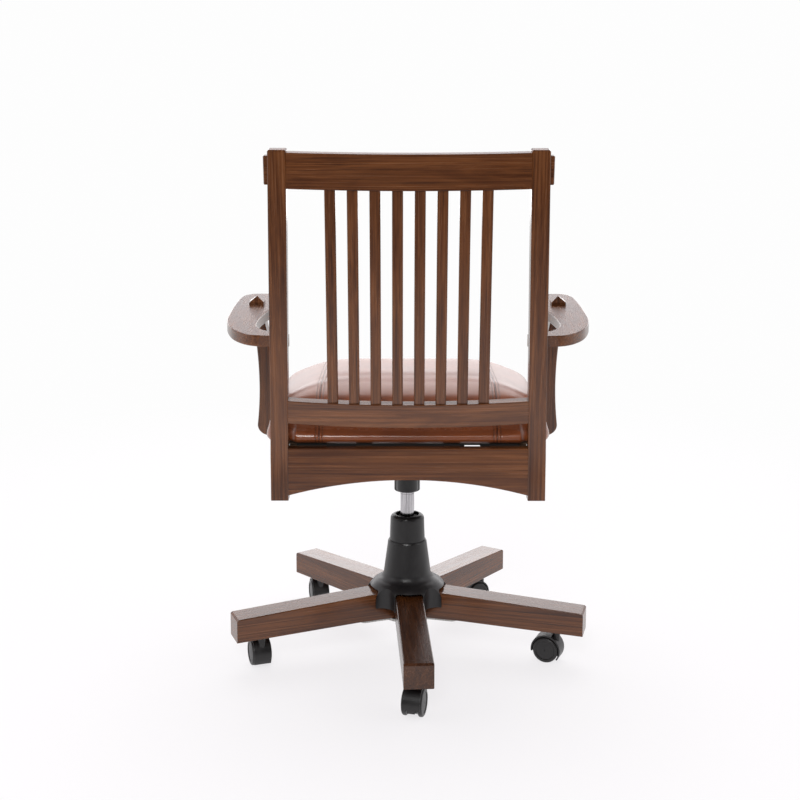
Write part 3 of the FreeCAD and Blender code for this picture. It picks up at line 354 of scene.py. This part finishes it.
walnutAcross = walnut("walnutAcross", (0, 0, 0), 0.2, 1.0, 0.1)
walnutUp = walnut("walnutUp", (0, quarter, 0), 0.9, 0.92, 0.1)
walnutSlat = walnut("walnutSlat", (0, quarter, 0), 1.7, 0.95, 0.1)
walnutAlong = walnut("walnutAlong", (0, 0, quarter), 1.1)
# painted shade: the board's wood is kept dark so that it looks shadowed in the gap
shadedBoardWood = plainWood("shadedBoardWood")
hideLeather = leather("saddleLeather")
seamThread = thread("seamThread")
coverPlastic = blackMoulding("coverPlastic", (0.0065, 0.0056, 0.0060), 0.36, 2600.0)
casterPlastic = blackMoulding("casterPlastic", (0.0090, 0.0080, 0.0084), 0.38, 3200.0)
framePaint = blackMoulding("framePaint", (0.0100, 0.0095, 0.0098), 0.38, 1500.0)
# painted shade: the near-black strip in the slit under the rear of the cushion
shadeStrip = blackMoulding("shadeStrip", (0.0050, 0.0046, 0.0048), 0.85, 2000.0)
bushNylon = blackMoulding("bushNylon", (0.30, 0.30, 0.29), 0.5, 1800.0)
liftChrome = metal("liftChrome", (0.57, 0.555, 0.575), 0.12, 0.16)
zincSteel = metal("zincSteel", (0.52, 0.51, 0.49), 0.28, 0.16)

finishes = (
    (walnutAcross, ("crest_rail", "lower_rail", "rear_apron", "front_apron")),
    (walnutUp, ("post_left", "post_right", "arm_support_left", "arm_support_right")),
    (walnutAlong, ("arm_left", "arm_right", "side_rail_left", "side_rail_right")),
    (walnutSlat, ("back_slats",)),
    (shadedBoardWood, ("seat_board", "seat_bearers")),
    (coverPlastic, ("hub_cover", "column_sleeve", "tension_knob")),
    (framePaint, ("tilt_housing", "seat_plate", "lift_lever")),
    (zincSteel, ("base_hub", "leg_bolts", "caster_sockets", "thrust_bearing", "gas_rod", "retaining_clip",
                 "column_tube", "release_pin", "tilt_pin", "tilt_spring", "plate_bolts")),
    (bushNylon, ("column_bush",)),
    (liftChrome, ("gas_cylinder",)),
)
for material, nodes in finishes:
    for node in nodes:
        dress(node, material)

# each leg has its grain along its own length, and the near one is darker, as in the photo
basePlan = {"legs": 5, "turn": 3.0, "shift": 0.6, "tones": (0.5, 1.0, 1.0, 1.0, 1.0)}
for index, tone in enumerate(basePlan["tones"]):
    number = index + 1
    angle = math.radians(basePlan["turn"] + 360 / basePlan["legs"] * index)
    grain = (0, 0, -angle - quarter)
    dress(f"leg_{number}", walnut(f"walnutLeg{number}", grain, basePlan["shift"] + index, tone))
    for piece in ("hood", "wheel_left", "wheel_right"):
        dress(f"caster_{number}_{piece}", casterPlastic)
    dress(f"caster_{number}_pins", zincSteel)
print("chair: finishes set")


# leather cushion, its heights counted from the top of the seat frame

apron = [vertex.co for vertex in cad["rear_apron"].data.vertices]
frameTop = max(point.z for point in apron)
apronFront = min(point.y for point in apron)

cushionPlan = {
    "voxel": 0.006, "weld": 1e-6, "even": 5, "shrink": 0.006, "rest": frameTop + 0.010, "restFade": 0.02,
    "pressure": 4.0, "stretch": 18, "bend": 1.5, "quality": 5, "frames": 20, "cap": 0.009, "calm": 14,
    "dome": frameTop + 0.043, "domeFade": 0.03, "ease": 45,
    "full": 0.012, "fullSides": (0.22, 0.268), "fullRise": (0.085, 0.175), "fullFall": (0.180, 0.222),
    "roll": 0.0045, "rollZ": frameTop + 0.0155, "rollHalf": 0.0095, "rollSides": (0.215, 0.245),
    "rollLow": frameTop + 0.0035, "rollFront": 0.19,
}


def addSmooth(obj, turns, group=""):
    ease = obj.modifiers.new("ease", "SMOOTH")
    ease.factor = 0.5
    ease.iterations = turns
    ease.vertex_group = group


def startPad(plan):
    # an even mesh over the CAD form
    mesh = cad["seat_cushion"].data.copy()
    mesh.materials.clear()
    pad = linkObject("cushionCover", mesh)
    bm = bmesh.new()
    bm.from_mesh(mesh)
    bmesh.ops.remove_doubles(bm, verts=bm.verts, dist=plan["weld"])
    bm.to_mesh(mesh)
    form = BVHTree.FromBMesh(bm)
    bm.free()
    cut = pad.modifiers.new("voxels", "REMESH")
    cut.mode = "VOXEL"
    cut.voxel_size = plan["voxel"]
    addSmooth(pad, plan["even"])
    bake(pad)
    for vertex in pad.data.vertices:
        vertex.co = form.find_nearest(vertex.co)[0]
    pad.data.update()
    return pad


def swell(pad, start, outward, free, plan):
    # how far pressure from inside moves each point of the cloth outward
    hold = pad.vertex_groups.new(name="hold")
    for index, share in enumerate(free):
        hold.add([index], 1.0 - share, "REPLACE")
    cloth = pad.modifiers.new("fill", "CLOTH")
    cloth.settings.vertex_group_mass = "hold"
    cloth.settings.use_pressure = True
    cloth.settings.uniform_pressure_force = plan["pressure"]
    cloth.settings.effector_weights.gravity = 0.0
    cloth.settings.tension_stiffness = plan["stretch"]
    cloth.settings.compression_stiffness = plan["stretch"]
    cloth.settings.bending_stiffness = plan["bend"]
    cloth.settings.quality = plan["quality"]
    cloth.point_cache.frame_start = 1
    cloth.point_cache.frame_end = plan["frames"]
    for number in range(1, plan["frames"] + 1):
        scene.frame_set(number)
    swollen = freshMesh(pad)
    pad.modifiers.clear()
    rise = [min(max((after.co - before).dot(way), 0.0), plan["cap"])
            for before, after, way in zip(start, swollen.vertices, outward)]
    print("chair: cushion swelled by", round(sum(rise) / len(rise) * 1000, 2), "mm on average")
    bpy.data.meshes.remove(swollen)
    scene.frame_set(1)
    pad.vertex_groups.clear()
    return rise


def evened(mesh, values, turns):
    # each point's value drawn towards the mean of its neighbours
    near = [[] for vertex in mesh.vertices]
    for edge in mesh.edges:
        first, second = edge.vertices
        near[first].append(second)
        near[second].append(first)
    for turn in range(turns):
        values = [0.5 * own + 0.5 * sum(values[other] for other in beside) / len(beside)
                  for own, beside in zip(values, near)]
    return values


def fillPad(pad, plan):
    # the pad starts a little smaller and swells, except where it lies on the frame and the board
    mesh = pad.data
    free = [clamped(vertex.co.z, plan["rest"], plan["rest"] + plan["restFade"]) for vertex in mesh.vertices]
    outward = [vertex.normal.copy() for vertex in mesh.vertices]
    start = []
    for vertex, share, way in zip(mesh.vertices, free, outward):
        vertex.co -= way * plan["shrink"] * share
        start.append(vertex.co.copy())
    rise = [plan["shrink"] * share for share in free]
    rise = swell(pad, start, outward, free, plan)
    # taut hide: the swelling is evened out over neighbouring points
    rise = evened(mesh, rise, plan["calm"])
    for vertex, before, way, grown, share in zip(mesh.vertices, start, outward, rise, free):
        vertex.co = before + way * grown * share


def roundDome(pad, plan):
    # the top is one round dome without the corners of the form
    dome = pad.vertex_groups.new(name="dome")
    for vertex in pad.data.vertices:
        share = clamped(vertex.co.z, plan["dome"], plan["dome"] + plan["domeFade"])
        dome.add([vertex.index], share, "REPLACE")
    addSmooth(pad, plan["ease"], "dome")
    bake(pad)
    pad.vertex_groups.clear()


def fillRear(pad, plan):
    # filled out towards the rear, and a round roll along the rear edge
    for vertex in pad.data.vertices:
        at = vertex.co
        if at.z > plan["dome"]:
            side = 1.0 - stepped(abs(at.x), *plan["fullSides"])
            rear = stepped(at.y, *plan["fullRise"]) * (1.0 - stepped(at.y, *plan["fullFall"]))
            at.z += plan["full"] * side * rear
        elif at.y > plan["rollFront"] and at.z > plan["rollLow"]:
            side = 1.0 - stepped(abs(at.x), *plan["rollSides"])
            at.y += plan["roll"] * side * hump(at.z - plan["rollZ"], plan["rollHalf"])


def pillowCushion(plan):
    pad = startPad(plan)
    fillPad(pad, plan)
    roundDome(pad, plan)
    fillRear(pad, plan)
    finer = pad.modifiers.new("finer", "SUBSURF")
    finer.levels = finer.render_levels = 1
    bake(pad)
    return pad


def sewSeams(pad, plan):
    # loops along both seams, then the groove, the raised edges and the dents under the stitches
    bm = bmesh.new()
    bm.from_mesh(pad.data)
    offsets = sorted([0.0, *plan["loops"], *(-offset for offset in plan["loops"])])
    for side in (-1, 1):
        for offset in offsets:
            bmesh.ops.bisect_plane(bm, geom=bm.verts[:] + bm.edges[:] + bm.faces[:], dist=cushionPlan["weld"],
                                   plane_co=(side * plan["x"] + offset, 0, 0), plane_no=(1, 0, 0))
    bm.normal_update()
    low = cushionPlan["rest"]
    moves = []
    for vertex in bm.verts:
        away = abs(abs(vertex.co.x) - plan["x"])
        if away > plan["reach"] or vertex.co.z < low:
            continue
        fade = clamped(vertex.co.z, low, low + plan["fade"])
        groove = plan["groove"] * hump(away, plan["grooveHalf"])
        dent = plan["dent"] * hump(away - plan["row"], plan["dentHalf"])
        ridge = plan["ridge"] * hump(away - plan["ridgeAway"], plan["ridgeHalf"])
        moves.append((vertex, vertex.normal * fade * (ridge - groove - dent)))
    for vertex, move in moves:
        vertex.co += move
    bm.to_mesh(pad.data)
    bm.free()
    pad.data.polygons.foreach_set("use_smooth", [True] * len(pad.data.polygons))


stitchPlan = {
    "pitch": 0.0052, "length": 0.0038, "thick": 0.0011, "sink": 0.0002, "segments": 6, "rings": 4,
    "middleY": -0.01, "middleZ": frameTop + 0.022, "reach": 0.6, "lowest": frameTop + 0.014, "steps": 180,
}


def stitchTree(plan):
    # one stitch after another along a row of points
    tree = bpy.data.node_groups.new("stitchRow", "GeometryNodeTree")
    sizes = {}
    for key, kind in (("Row", "Geometry"), ("pitch", "Float"), ("length", "Float"), ("thick", "Float"),
                      ("yarn", "Material")):
        socket = tree.interface.new_socket(key, in_out="INPUT", socket_type="NodeSocket" + kind)
        sizes[key] = socket.identifier
    tree.interface.new_socket("Stitches", in_out="OUTPUT", socket_type="NodeSocketGeometry")
    sewing = Nodes(tree)
    entry = sewing.node("NodeGroupInput").outputs
    leave = sewing.node("NodeGroupOutput")
    curve = sewing.node("GeometryNodeMeshToCurve")
    spread = sewing.node("GeometryNodeResampleCurve")
    spread.mode = "LENGTH"
    bead = sewing.node("GeometryNodeMeshUVSphere")
    bead.inputs["Segments"].default_value = plan["segments"]
    bead.inputs["Rings"].default_value = plan["rings"]
    bead.inputs["Radius"].default_value = 0.5
    shape = sewing.node("ShaderNodeCombineXYZ")
    tangent = sewing.node("GeometryNodeInputTangent")
    aim = sewing.node("FunctionNodeAlignRotationToVector", axis="X")
    place = sewing.node("GeometryNodeInstanceOnPoints")
    real = sewing.node("GeometryNodeRealizeInstances")
    smooth = sewing.node("GeometryNodeSetShadeSmooth")
    finish = sewing.node("GeometryNodeSetMaterial")
    for source, target in (
        (entry["Row"], curve.inputs["Mesh"]),
        (curve.outputs["Curve"], spread.inputs["Curve"]),
        (entry["pitch"], spread.inputs["Length"]),
        (spread.outputs["Curve"], place.inputs["Points"]),
        (bead.outputs["Mesh"], place.inputs["Instance"]),
        (tangent.outputs["Tangent"], aim.inputs["Vector"]),
        (aim.outputs["Rotation"], place.inputs["Rotation"]),
        (entry["length"], shape.inputs["X"]),
        (entry["thick"], shape.inputs["Y"]),
        (entry["thick"], shape.inputs["Z"]),
        (shape.outputs["Vector"], place.inputs["Scale"]),
        (place.outputs["Instances"], real.inputs["Geometry"]),
        (real.outputs["Geometry"], smooth.inputs["Geometry"]),
        (smooth.outputs["Geometry"], finish.inputs["Geometry"]),
        (entry["yarn"], finish.inputs["Material"]),
        (finish.outputs["Geometry"], leave.inputs["Stitches"]),
    ):
        sewing.join(source, target)
    return tree, sizes


def seamPath(surface, x, plan):
    # points over the pad from the rear edge to the front edge in one upright plane
    points = []
    middle = Vector((x, plan["middleY"], plan["middleZ"]))
    for step in range(plan["steps"] + 1):
        angle = math.pi * step / plan["steps"]
        way = Vector((0, math.cos(angle), math.sin(angle)))
        spot, normal = surface.ray_cast(middle + way * plan["reach"], -way)[:2]
        if spot is not None and spot.z > plan["lowest"]:
            points.append(spot - normal * plan["sink"])
    return points


def sewStitches(pad, plan):
    surface = BVHTree.FromObject(pad, bpy.context.evaluated_depsgraph_get())
    rows = bmesh.new()
    for side in (-1, 1):
        for row in (-1, 1):
            x = side * (seamPlan["x"] + row * seamPlan["row"])
            line = [rows.verts.new(point) for point in seamPath(surface, x, plan)]
            for first, second in zip(line, line[1:]):
                rows.edges.new((first, second))
    mesh = bpy.data.meshes.new("cushionStitches")
    rows.to_mesh(mesh)
    rows.free()
    stitches = linkObject("cushionStitches", mesh)
    tree, sizes = stitchTree(plan)
    sew = stitches.modifiers.new("sew", "NODES")
    sew.node_group = tree
    for key in ("pitch", "length", "thick"):
        sew[sizes[key]] = plan[key]
    sew[sizes["yarn"]] = seamThread
    bake(stitches)
    return stitches


# a black strip put in the slit between the pad and the rear apron, but for one lifted place, as painted shade
# for the deep shadow there

shadeStripPlan = {
    "y": apronFront - 0.0045, "thick": 0.0012, "halfWidth": 0.205,
    "top": frameTop + 0.0035, "low": frameTop - 0.004,
    "lifted": (-0.134, -0.102), "liftEnd": 0.002, "lift": 0.0049,
}


def hangShadeStrip(plan):
    first, last = plan["lifted"]
    half, slope = plan["halfWidth"], plan["liftEnd"]
    ends = (-half, first, first + slope, last - slope, last, half)
    rises = (0, 0, plan["lift"], plan["lift"], 0, 0)
    corners, faces = [], []
    for x, rise in zip(ends, rises):
        for y in (plan["y"], plan["y"] + plan["thick"]):
            corners += [(x, y, plan["low"] + rise), (x, y, plan["top"])]
    for step in range(len(ends) - 1):
        a, b = 4 * step, 4 * step + 4
        faces += [(a, b, b + 1, a + 1), (a + 2, a + 3, b + 3, b + 2)]
        faces += [(a, a + 2, b + 2, b), (a + 1, b + 1, b + 3, a + 3)]
    end = 4 * (len(ends) - 1)
    faces += [(0, 1, 3, 2), (end, end + 2, end + 3, end + 1)]
    mesh = bpy.data.meshes.new("shadeStrip")
    mesh.from_pydata(corners, [], faces)
    mesh.update()
    return linkObject("shadeStrip", mesh)


cushion = pillowCushion(cushionPlan)
sewSeams(cushion, seamPlan)
paint(cushion, hideLeather)
stitches = sewStitches(cushion, stitchPlan)
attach(cushion, "seat")
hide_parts("seat_cushion")
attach(stitches, "seat")
# the black strip stands in for the shadow in the slit: painted shade
edge = hangShadeStrip(shadeStripPlan)
paint(edge, shadeStrip)
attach(edge, "seat")
print("chair: cushion sewn,", len(cushion.data.polygons), "faces,",
      len(stitches.data.polygons), "in the stitches")


# studio

studio = {
    "floorSize": 40.0, "floor": (0.90, 0.90, 0.90), "floorDark": (0.05, 0.05, 0.05), "darkFrom": (1.2, 2.3),
    "floorRough": 0.9, "near": (1.0, 0.982, 1.0), "back": (0.985, 0.985, 0.985), "lift": 0.74,
    "fadeFrom": (0.7, 2.6), "bright": (0.96, 0.925, 0.955), "dim": (0.24, 0.235, 0.24),
    "dark": (0.04, 0.04, 0.04), "roomFrom": (-0.15, 0.4), "ceilingFrom": (0.80, 0.98), "aim": (0, 0, 0.55),
}
lamps = (
    {"name": "keyPanel", "at": (0.4, 3.3, 2.4), "size": (1.0, 1.0), "watts": 50.0, "shine": True},
    {"name": "fillPanel", "at": (0.3, 3.4, 0.75), "size": (2.2, 1.0), "watts": 10.0, "shine": False},
    {"name": "floorPanel", "at": (0.0, 0.92, 0.01), "aim": (0.0, 0.92, 1.0), "size": (2.4, 0.5),
     "watts": 5.5, "shine": False},
    {"name": "softbox", "at": (0.0, -1.7, 3.0), "size": (3.0, 2.0), "watts": 54.0, "shine": True},
    {"name": "horizonPanel", "at": (0.0, -3.6, 1.1), "aim": (0.0, 0.0, 1.1), "size": (6.0, 0.8),
     "watts": 36.0, "shine": True},
    {"name": "leftPanel", "at": (3.0, 1.0, 1.9), "size": (1.2, 2.0), "watts": 10.0, "shine": True},
    {"name": "rightPanel", "at": (-3.0, 1.0, 1.7), "size": (1.2, 2.0), "watts": 12.0, "shine": True},
)


def floorPaper(name):
    paper = Shader(name)
    place = paper.place()
    # the paper ends in a darker room on the side of the camera
    shade = paper.span(paper.axes(place)["Y"], 0.0, 1.0, *studio["darkFrom"])
    paper.finish(Base_Color=paper.mixColour(shade, studio["floor"], studio["floorDark"]),
                 Roughness=studio["floorRough"], Specular_IOR_Level=0.0)
    # seen directly it is mostly plain white, and the shadow stays as a soft tone
    length = paper.node("ShaderNodeVectorMath", operation="LENGTH")
    paper.join(place, length.inputs[0])
    far = paper.span(length.outputs["Value"], 0.0, 1.0, *studio["fadeFrom"])
    glow = paper.node("ShaderNodeEmission")
    paper.join(paper.mixColour(far, studio["near"], studio["back"]), glow.inputs["Color"])
    rays = paper.node("ShaderNodeLightPath").outputs
    mirrored = paper.count("MULTIPLY", rays["Is Glossy Ray"], paper.span(shade, 1.0, 0.0))
    seen = paper.count("MAXIMUM", rays["Is Camera Ray"], mirrored)
    mix = paper.node("ShaderNodeMixShader")
    paper.join(paper.count("MULTIPLY", paper.span(far, studio["lift"], 1.0), seen), mix.inputs[0])
    paper.join(paper.body.outputs[0], mix.inputs[1])
    paper.join(glow.outputs[0], mix.inputs[2])
    paper.join(mix.outputs[0], paper.tree.nodes["Material Output"].inputs["Surface"])
    return paper.material


def buildFloor():
    half = studio["floorSize"] / 2
    corners = [(-half, -half, 0), (half, -half, 0), (half, half, 0), (-half, half, 0)]
    mesh = bpy.data.meshes.new("floor")
    mesh.from_pydata(corners, [], [(0, 1, 2, 3)])
    floor = linkObject("floor", mesh)
    paint(floor, floorPaper("floorPaper"))


def buildWorld():
    # white where it is seen; as light, a bright backdrop in front of the chair,
    # and a dim room behind the camera and overhead
    world = bpy.data.worlds.new("studioWorld")
    scene.world = world
    world.use_nodes = True
    sky = Nodes(world.node_tree)
    axes = sky.axes(sky.node("ShaderNodeTexCoord").outputs["Generated"])
    room = sky.count("MAXIMUM", sky.span(axes["Y"], 0.0, 1.0, *studio["roomFrom"]),
                     sky.span(axes["Z"], 0.0, 1.0, *studio["ceilingFrom"]))
    rays = sky.node("ShaderNodeLightPath").outputs
    shiny = sky.count("MAXIMUM", rays["Is Glossy Ray"], rays["Is Transmission Ray"])
    walls = sky.mixColour(shiny, studio["dim"], studio["dark"])
    light = sky.mixColour(room, studio["bright"], walls)
    seen = sky.mixColour(rays["Is Camera Ray"], light, studio["back"])
    sky.join(seen, sky.tree.nodes["Background"].inputs["Color"])


def buildLamps():
    for lamp in lamps:
        data = bpy.data.lights.new(lamp["name"], "AREA")
        data.shape = "RECTANGLE"
        data.size, data.size_y = lamp["size"]
        data.energy = lamp["watts"]
        light = linkObject(lamp["name"], data)
        light.visible_camera = False
        light.visible_glossy = lamp["shine"]
        light.location = lamp["at"]
        aim = Vector(lamp.get("aim", studio["aim"])) - light.location
        light.rotation_euler = aim.to_track_quat("-Z", "Y").to_euler()


shot = {"at": (0.0138, 2.4554, 0.994), "down": 7.49, "turn": 180.04, "roll": -0.05,
        "sensor": 36.0, "lens": 55.845, "shiftY": -0.09625}


def buildCamera():
    data = bpy.data.cameras.new("photoCamera")
    data.sensor_width = shot["sensor"]
    data.lens = shot["lens"]
    data.shift_y = shot["shiftY"]
    camera = linkObject("photoCamera", data)
    camera.location = shot["at"]
    camera.rotation_euler = (math.radians(90 - shot["down"]), math.radians(shot["roll"]),
                             math.radians(shot["turn"]))
    scene.camera = camera


buildFloor()
buildWorld()
buildLamps()
buildCamera()
scene.view_settings.view_transform = "Standard"
print("chair: studio ready")
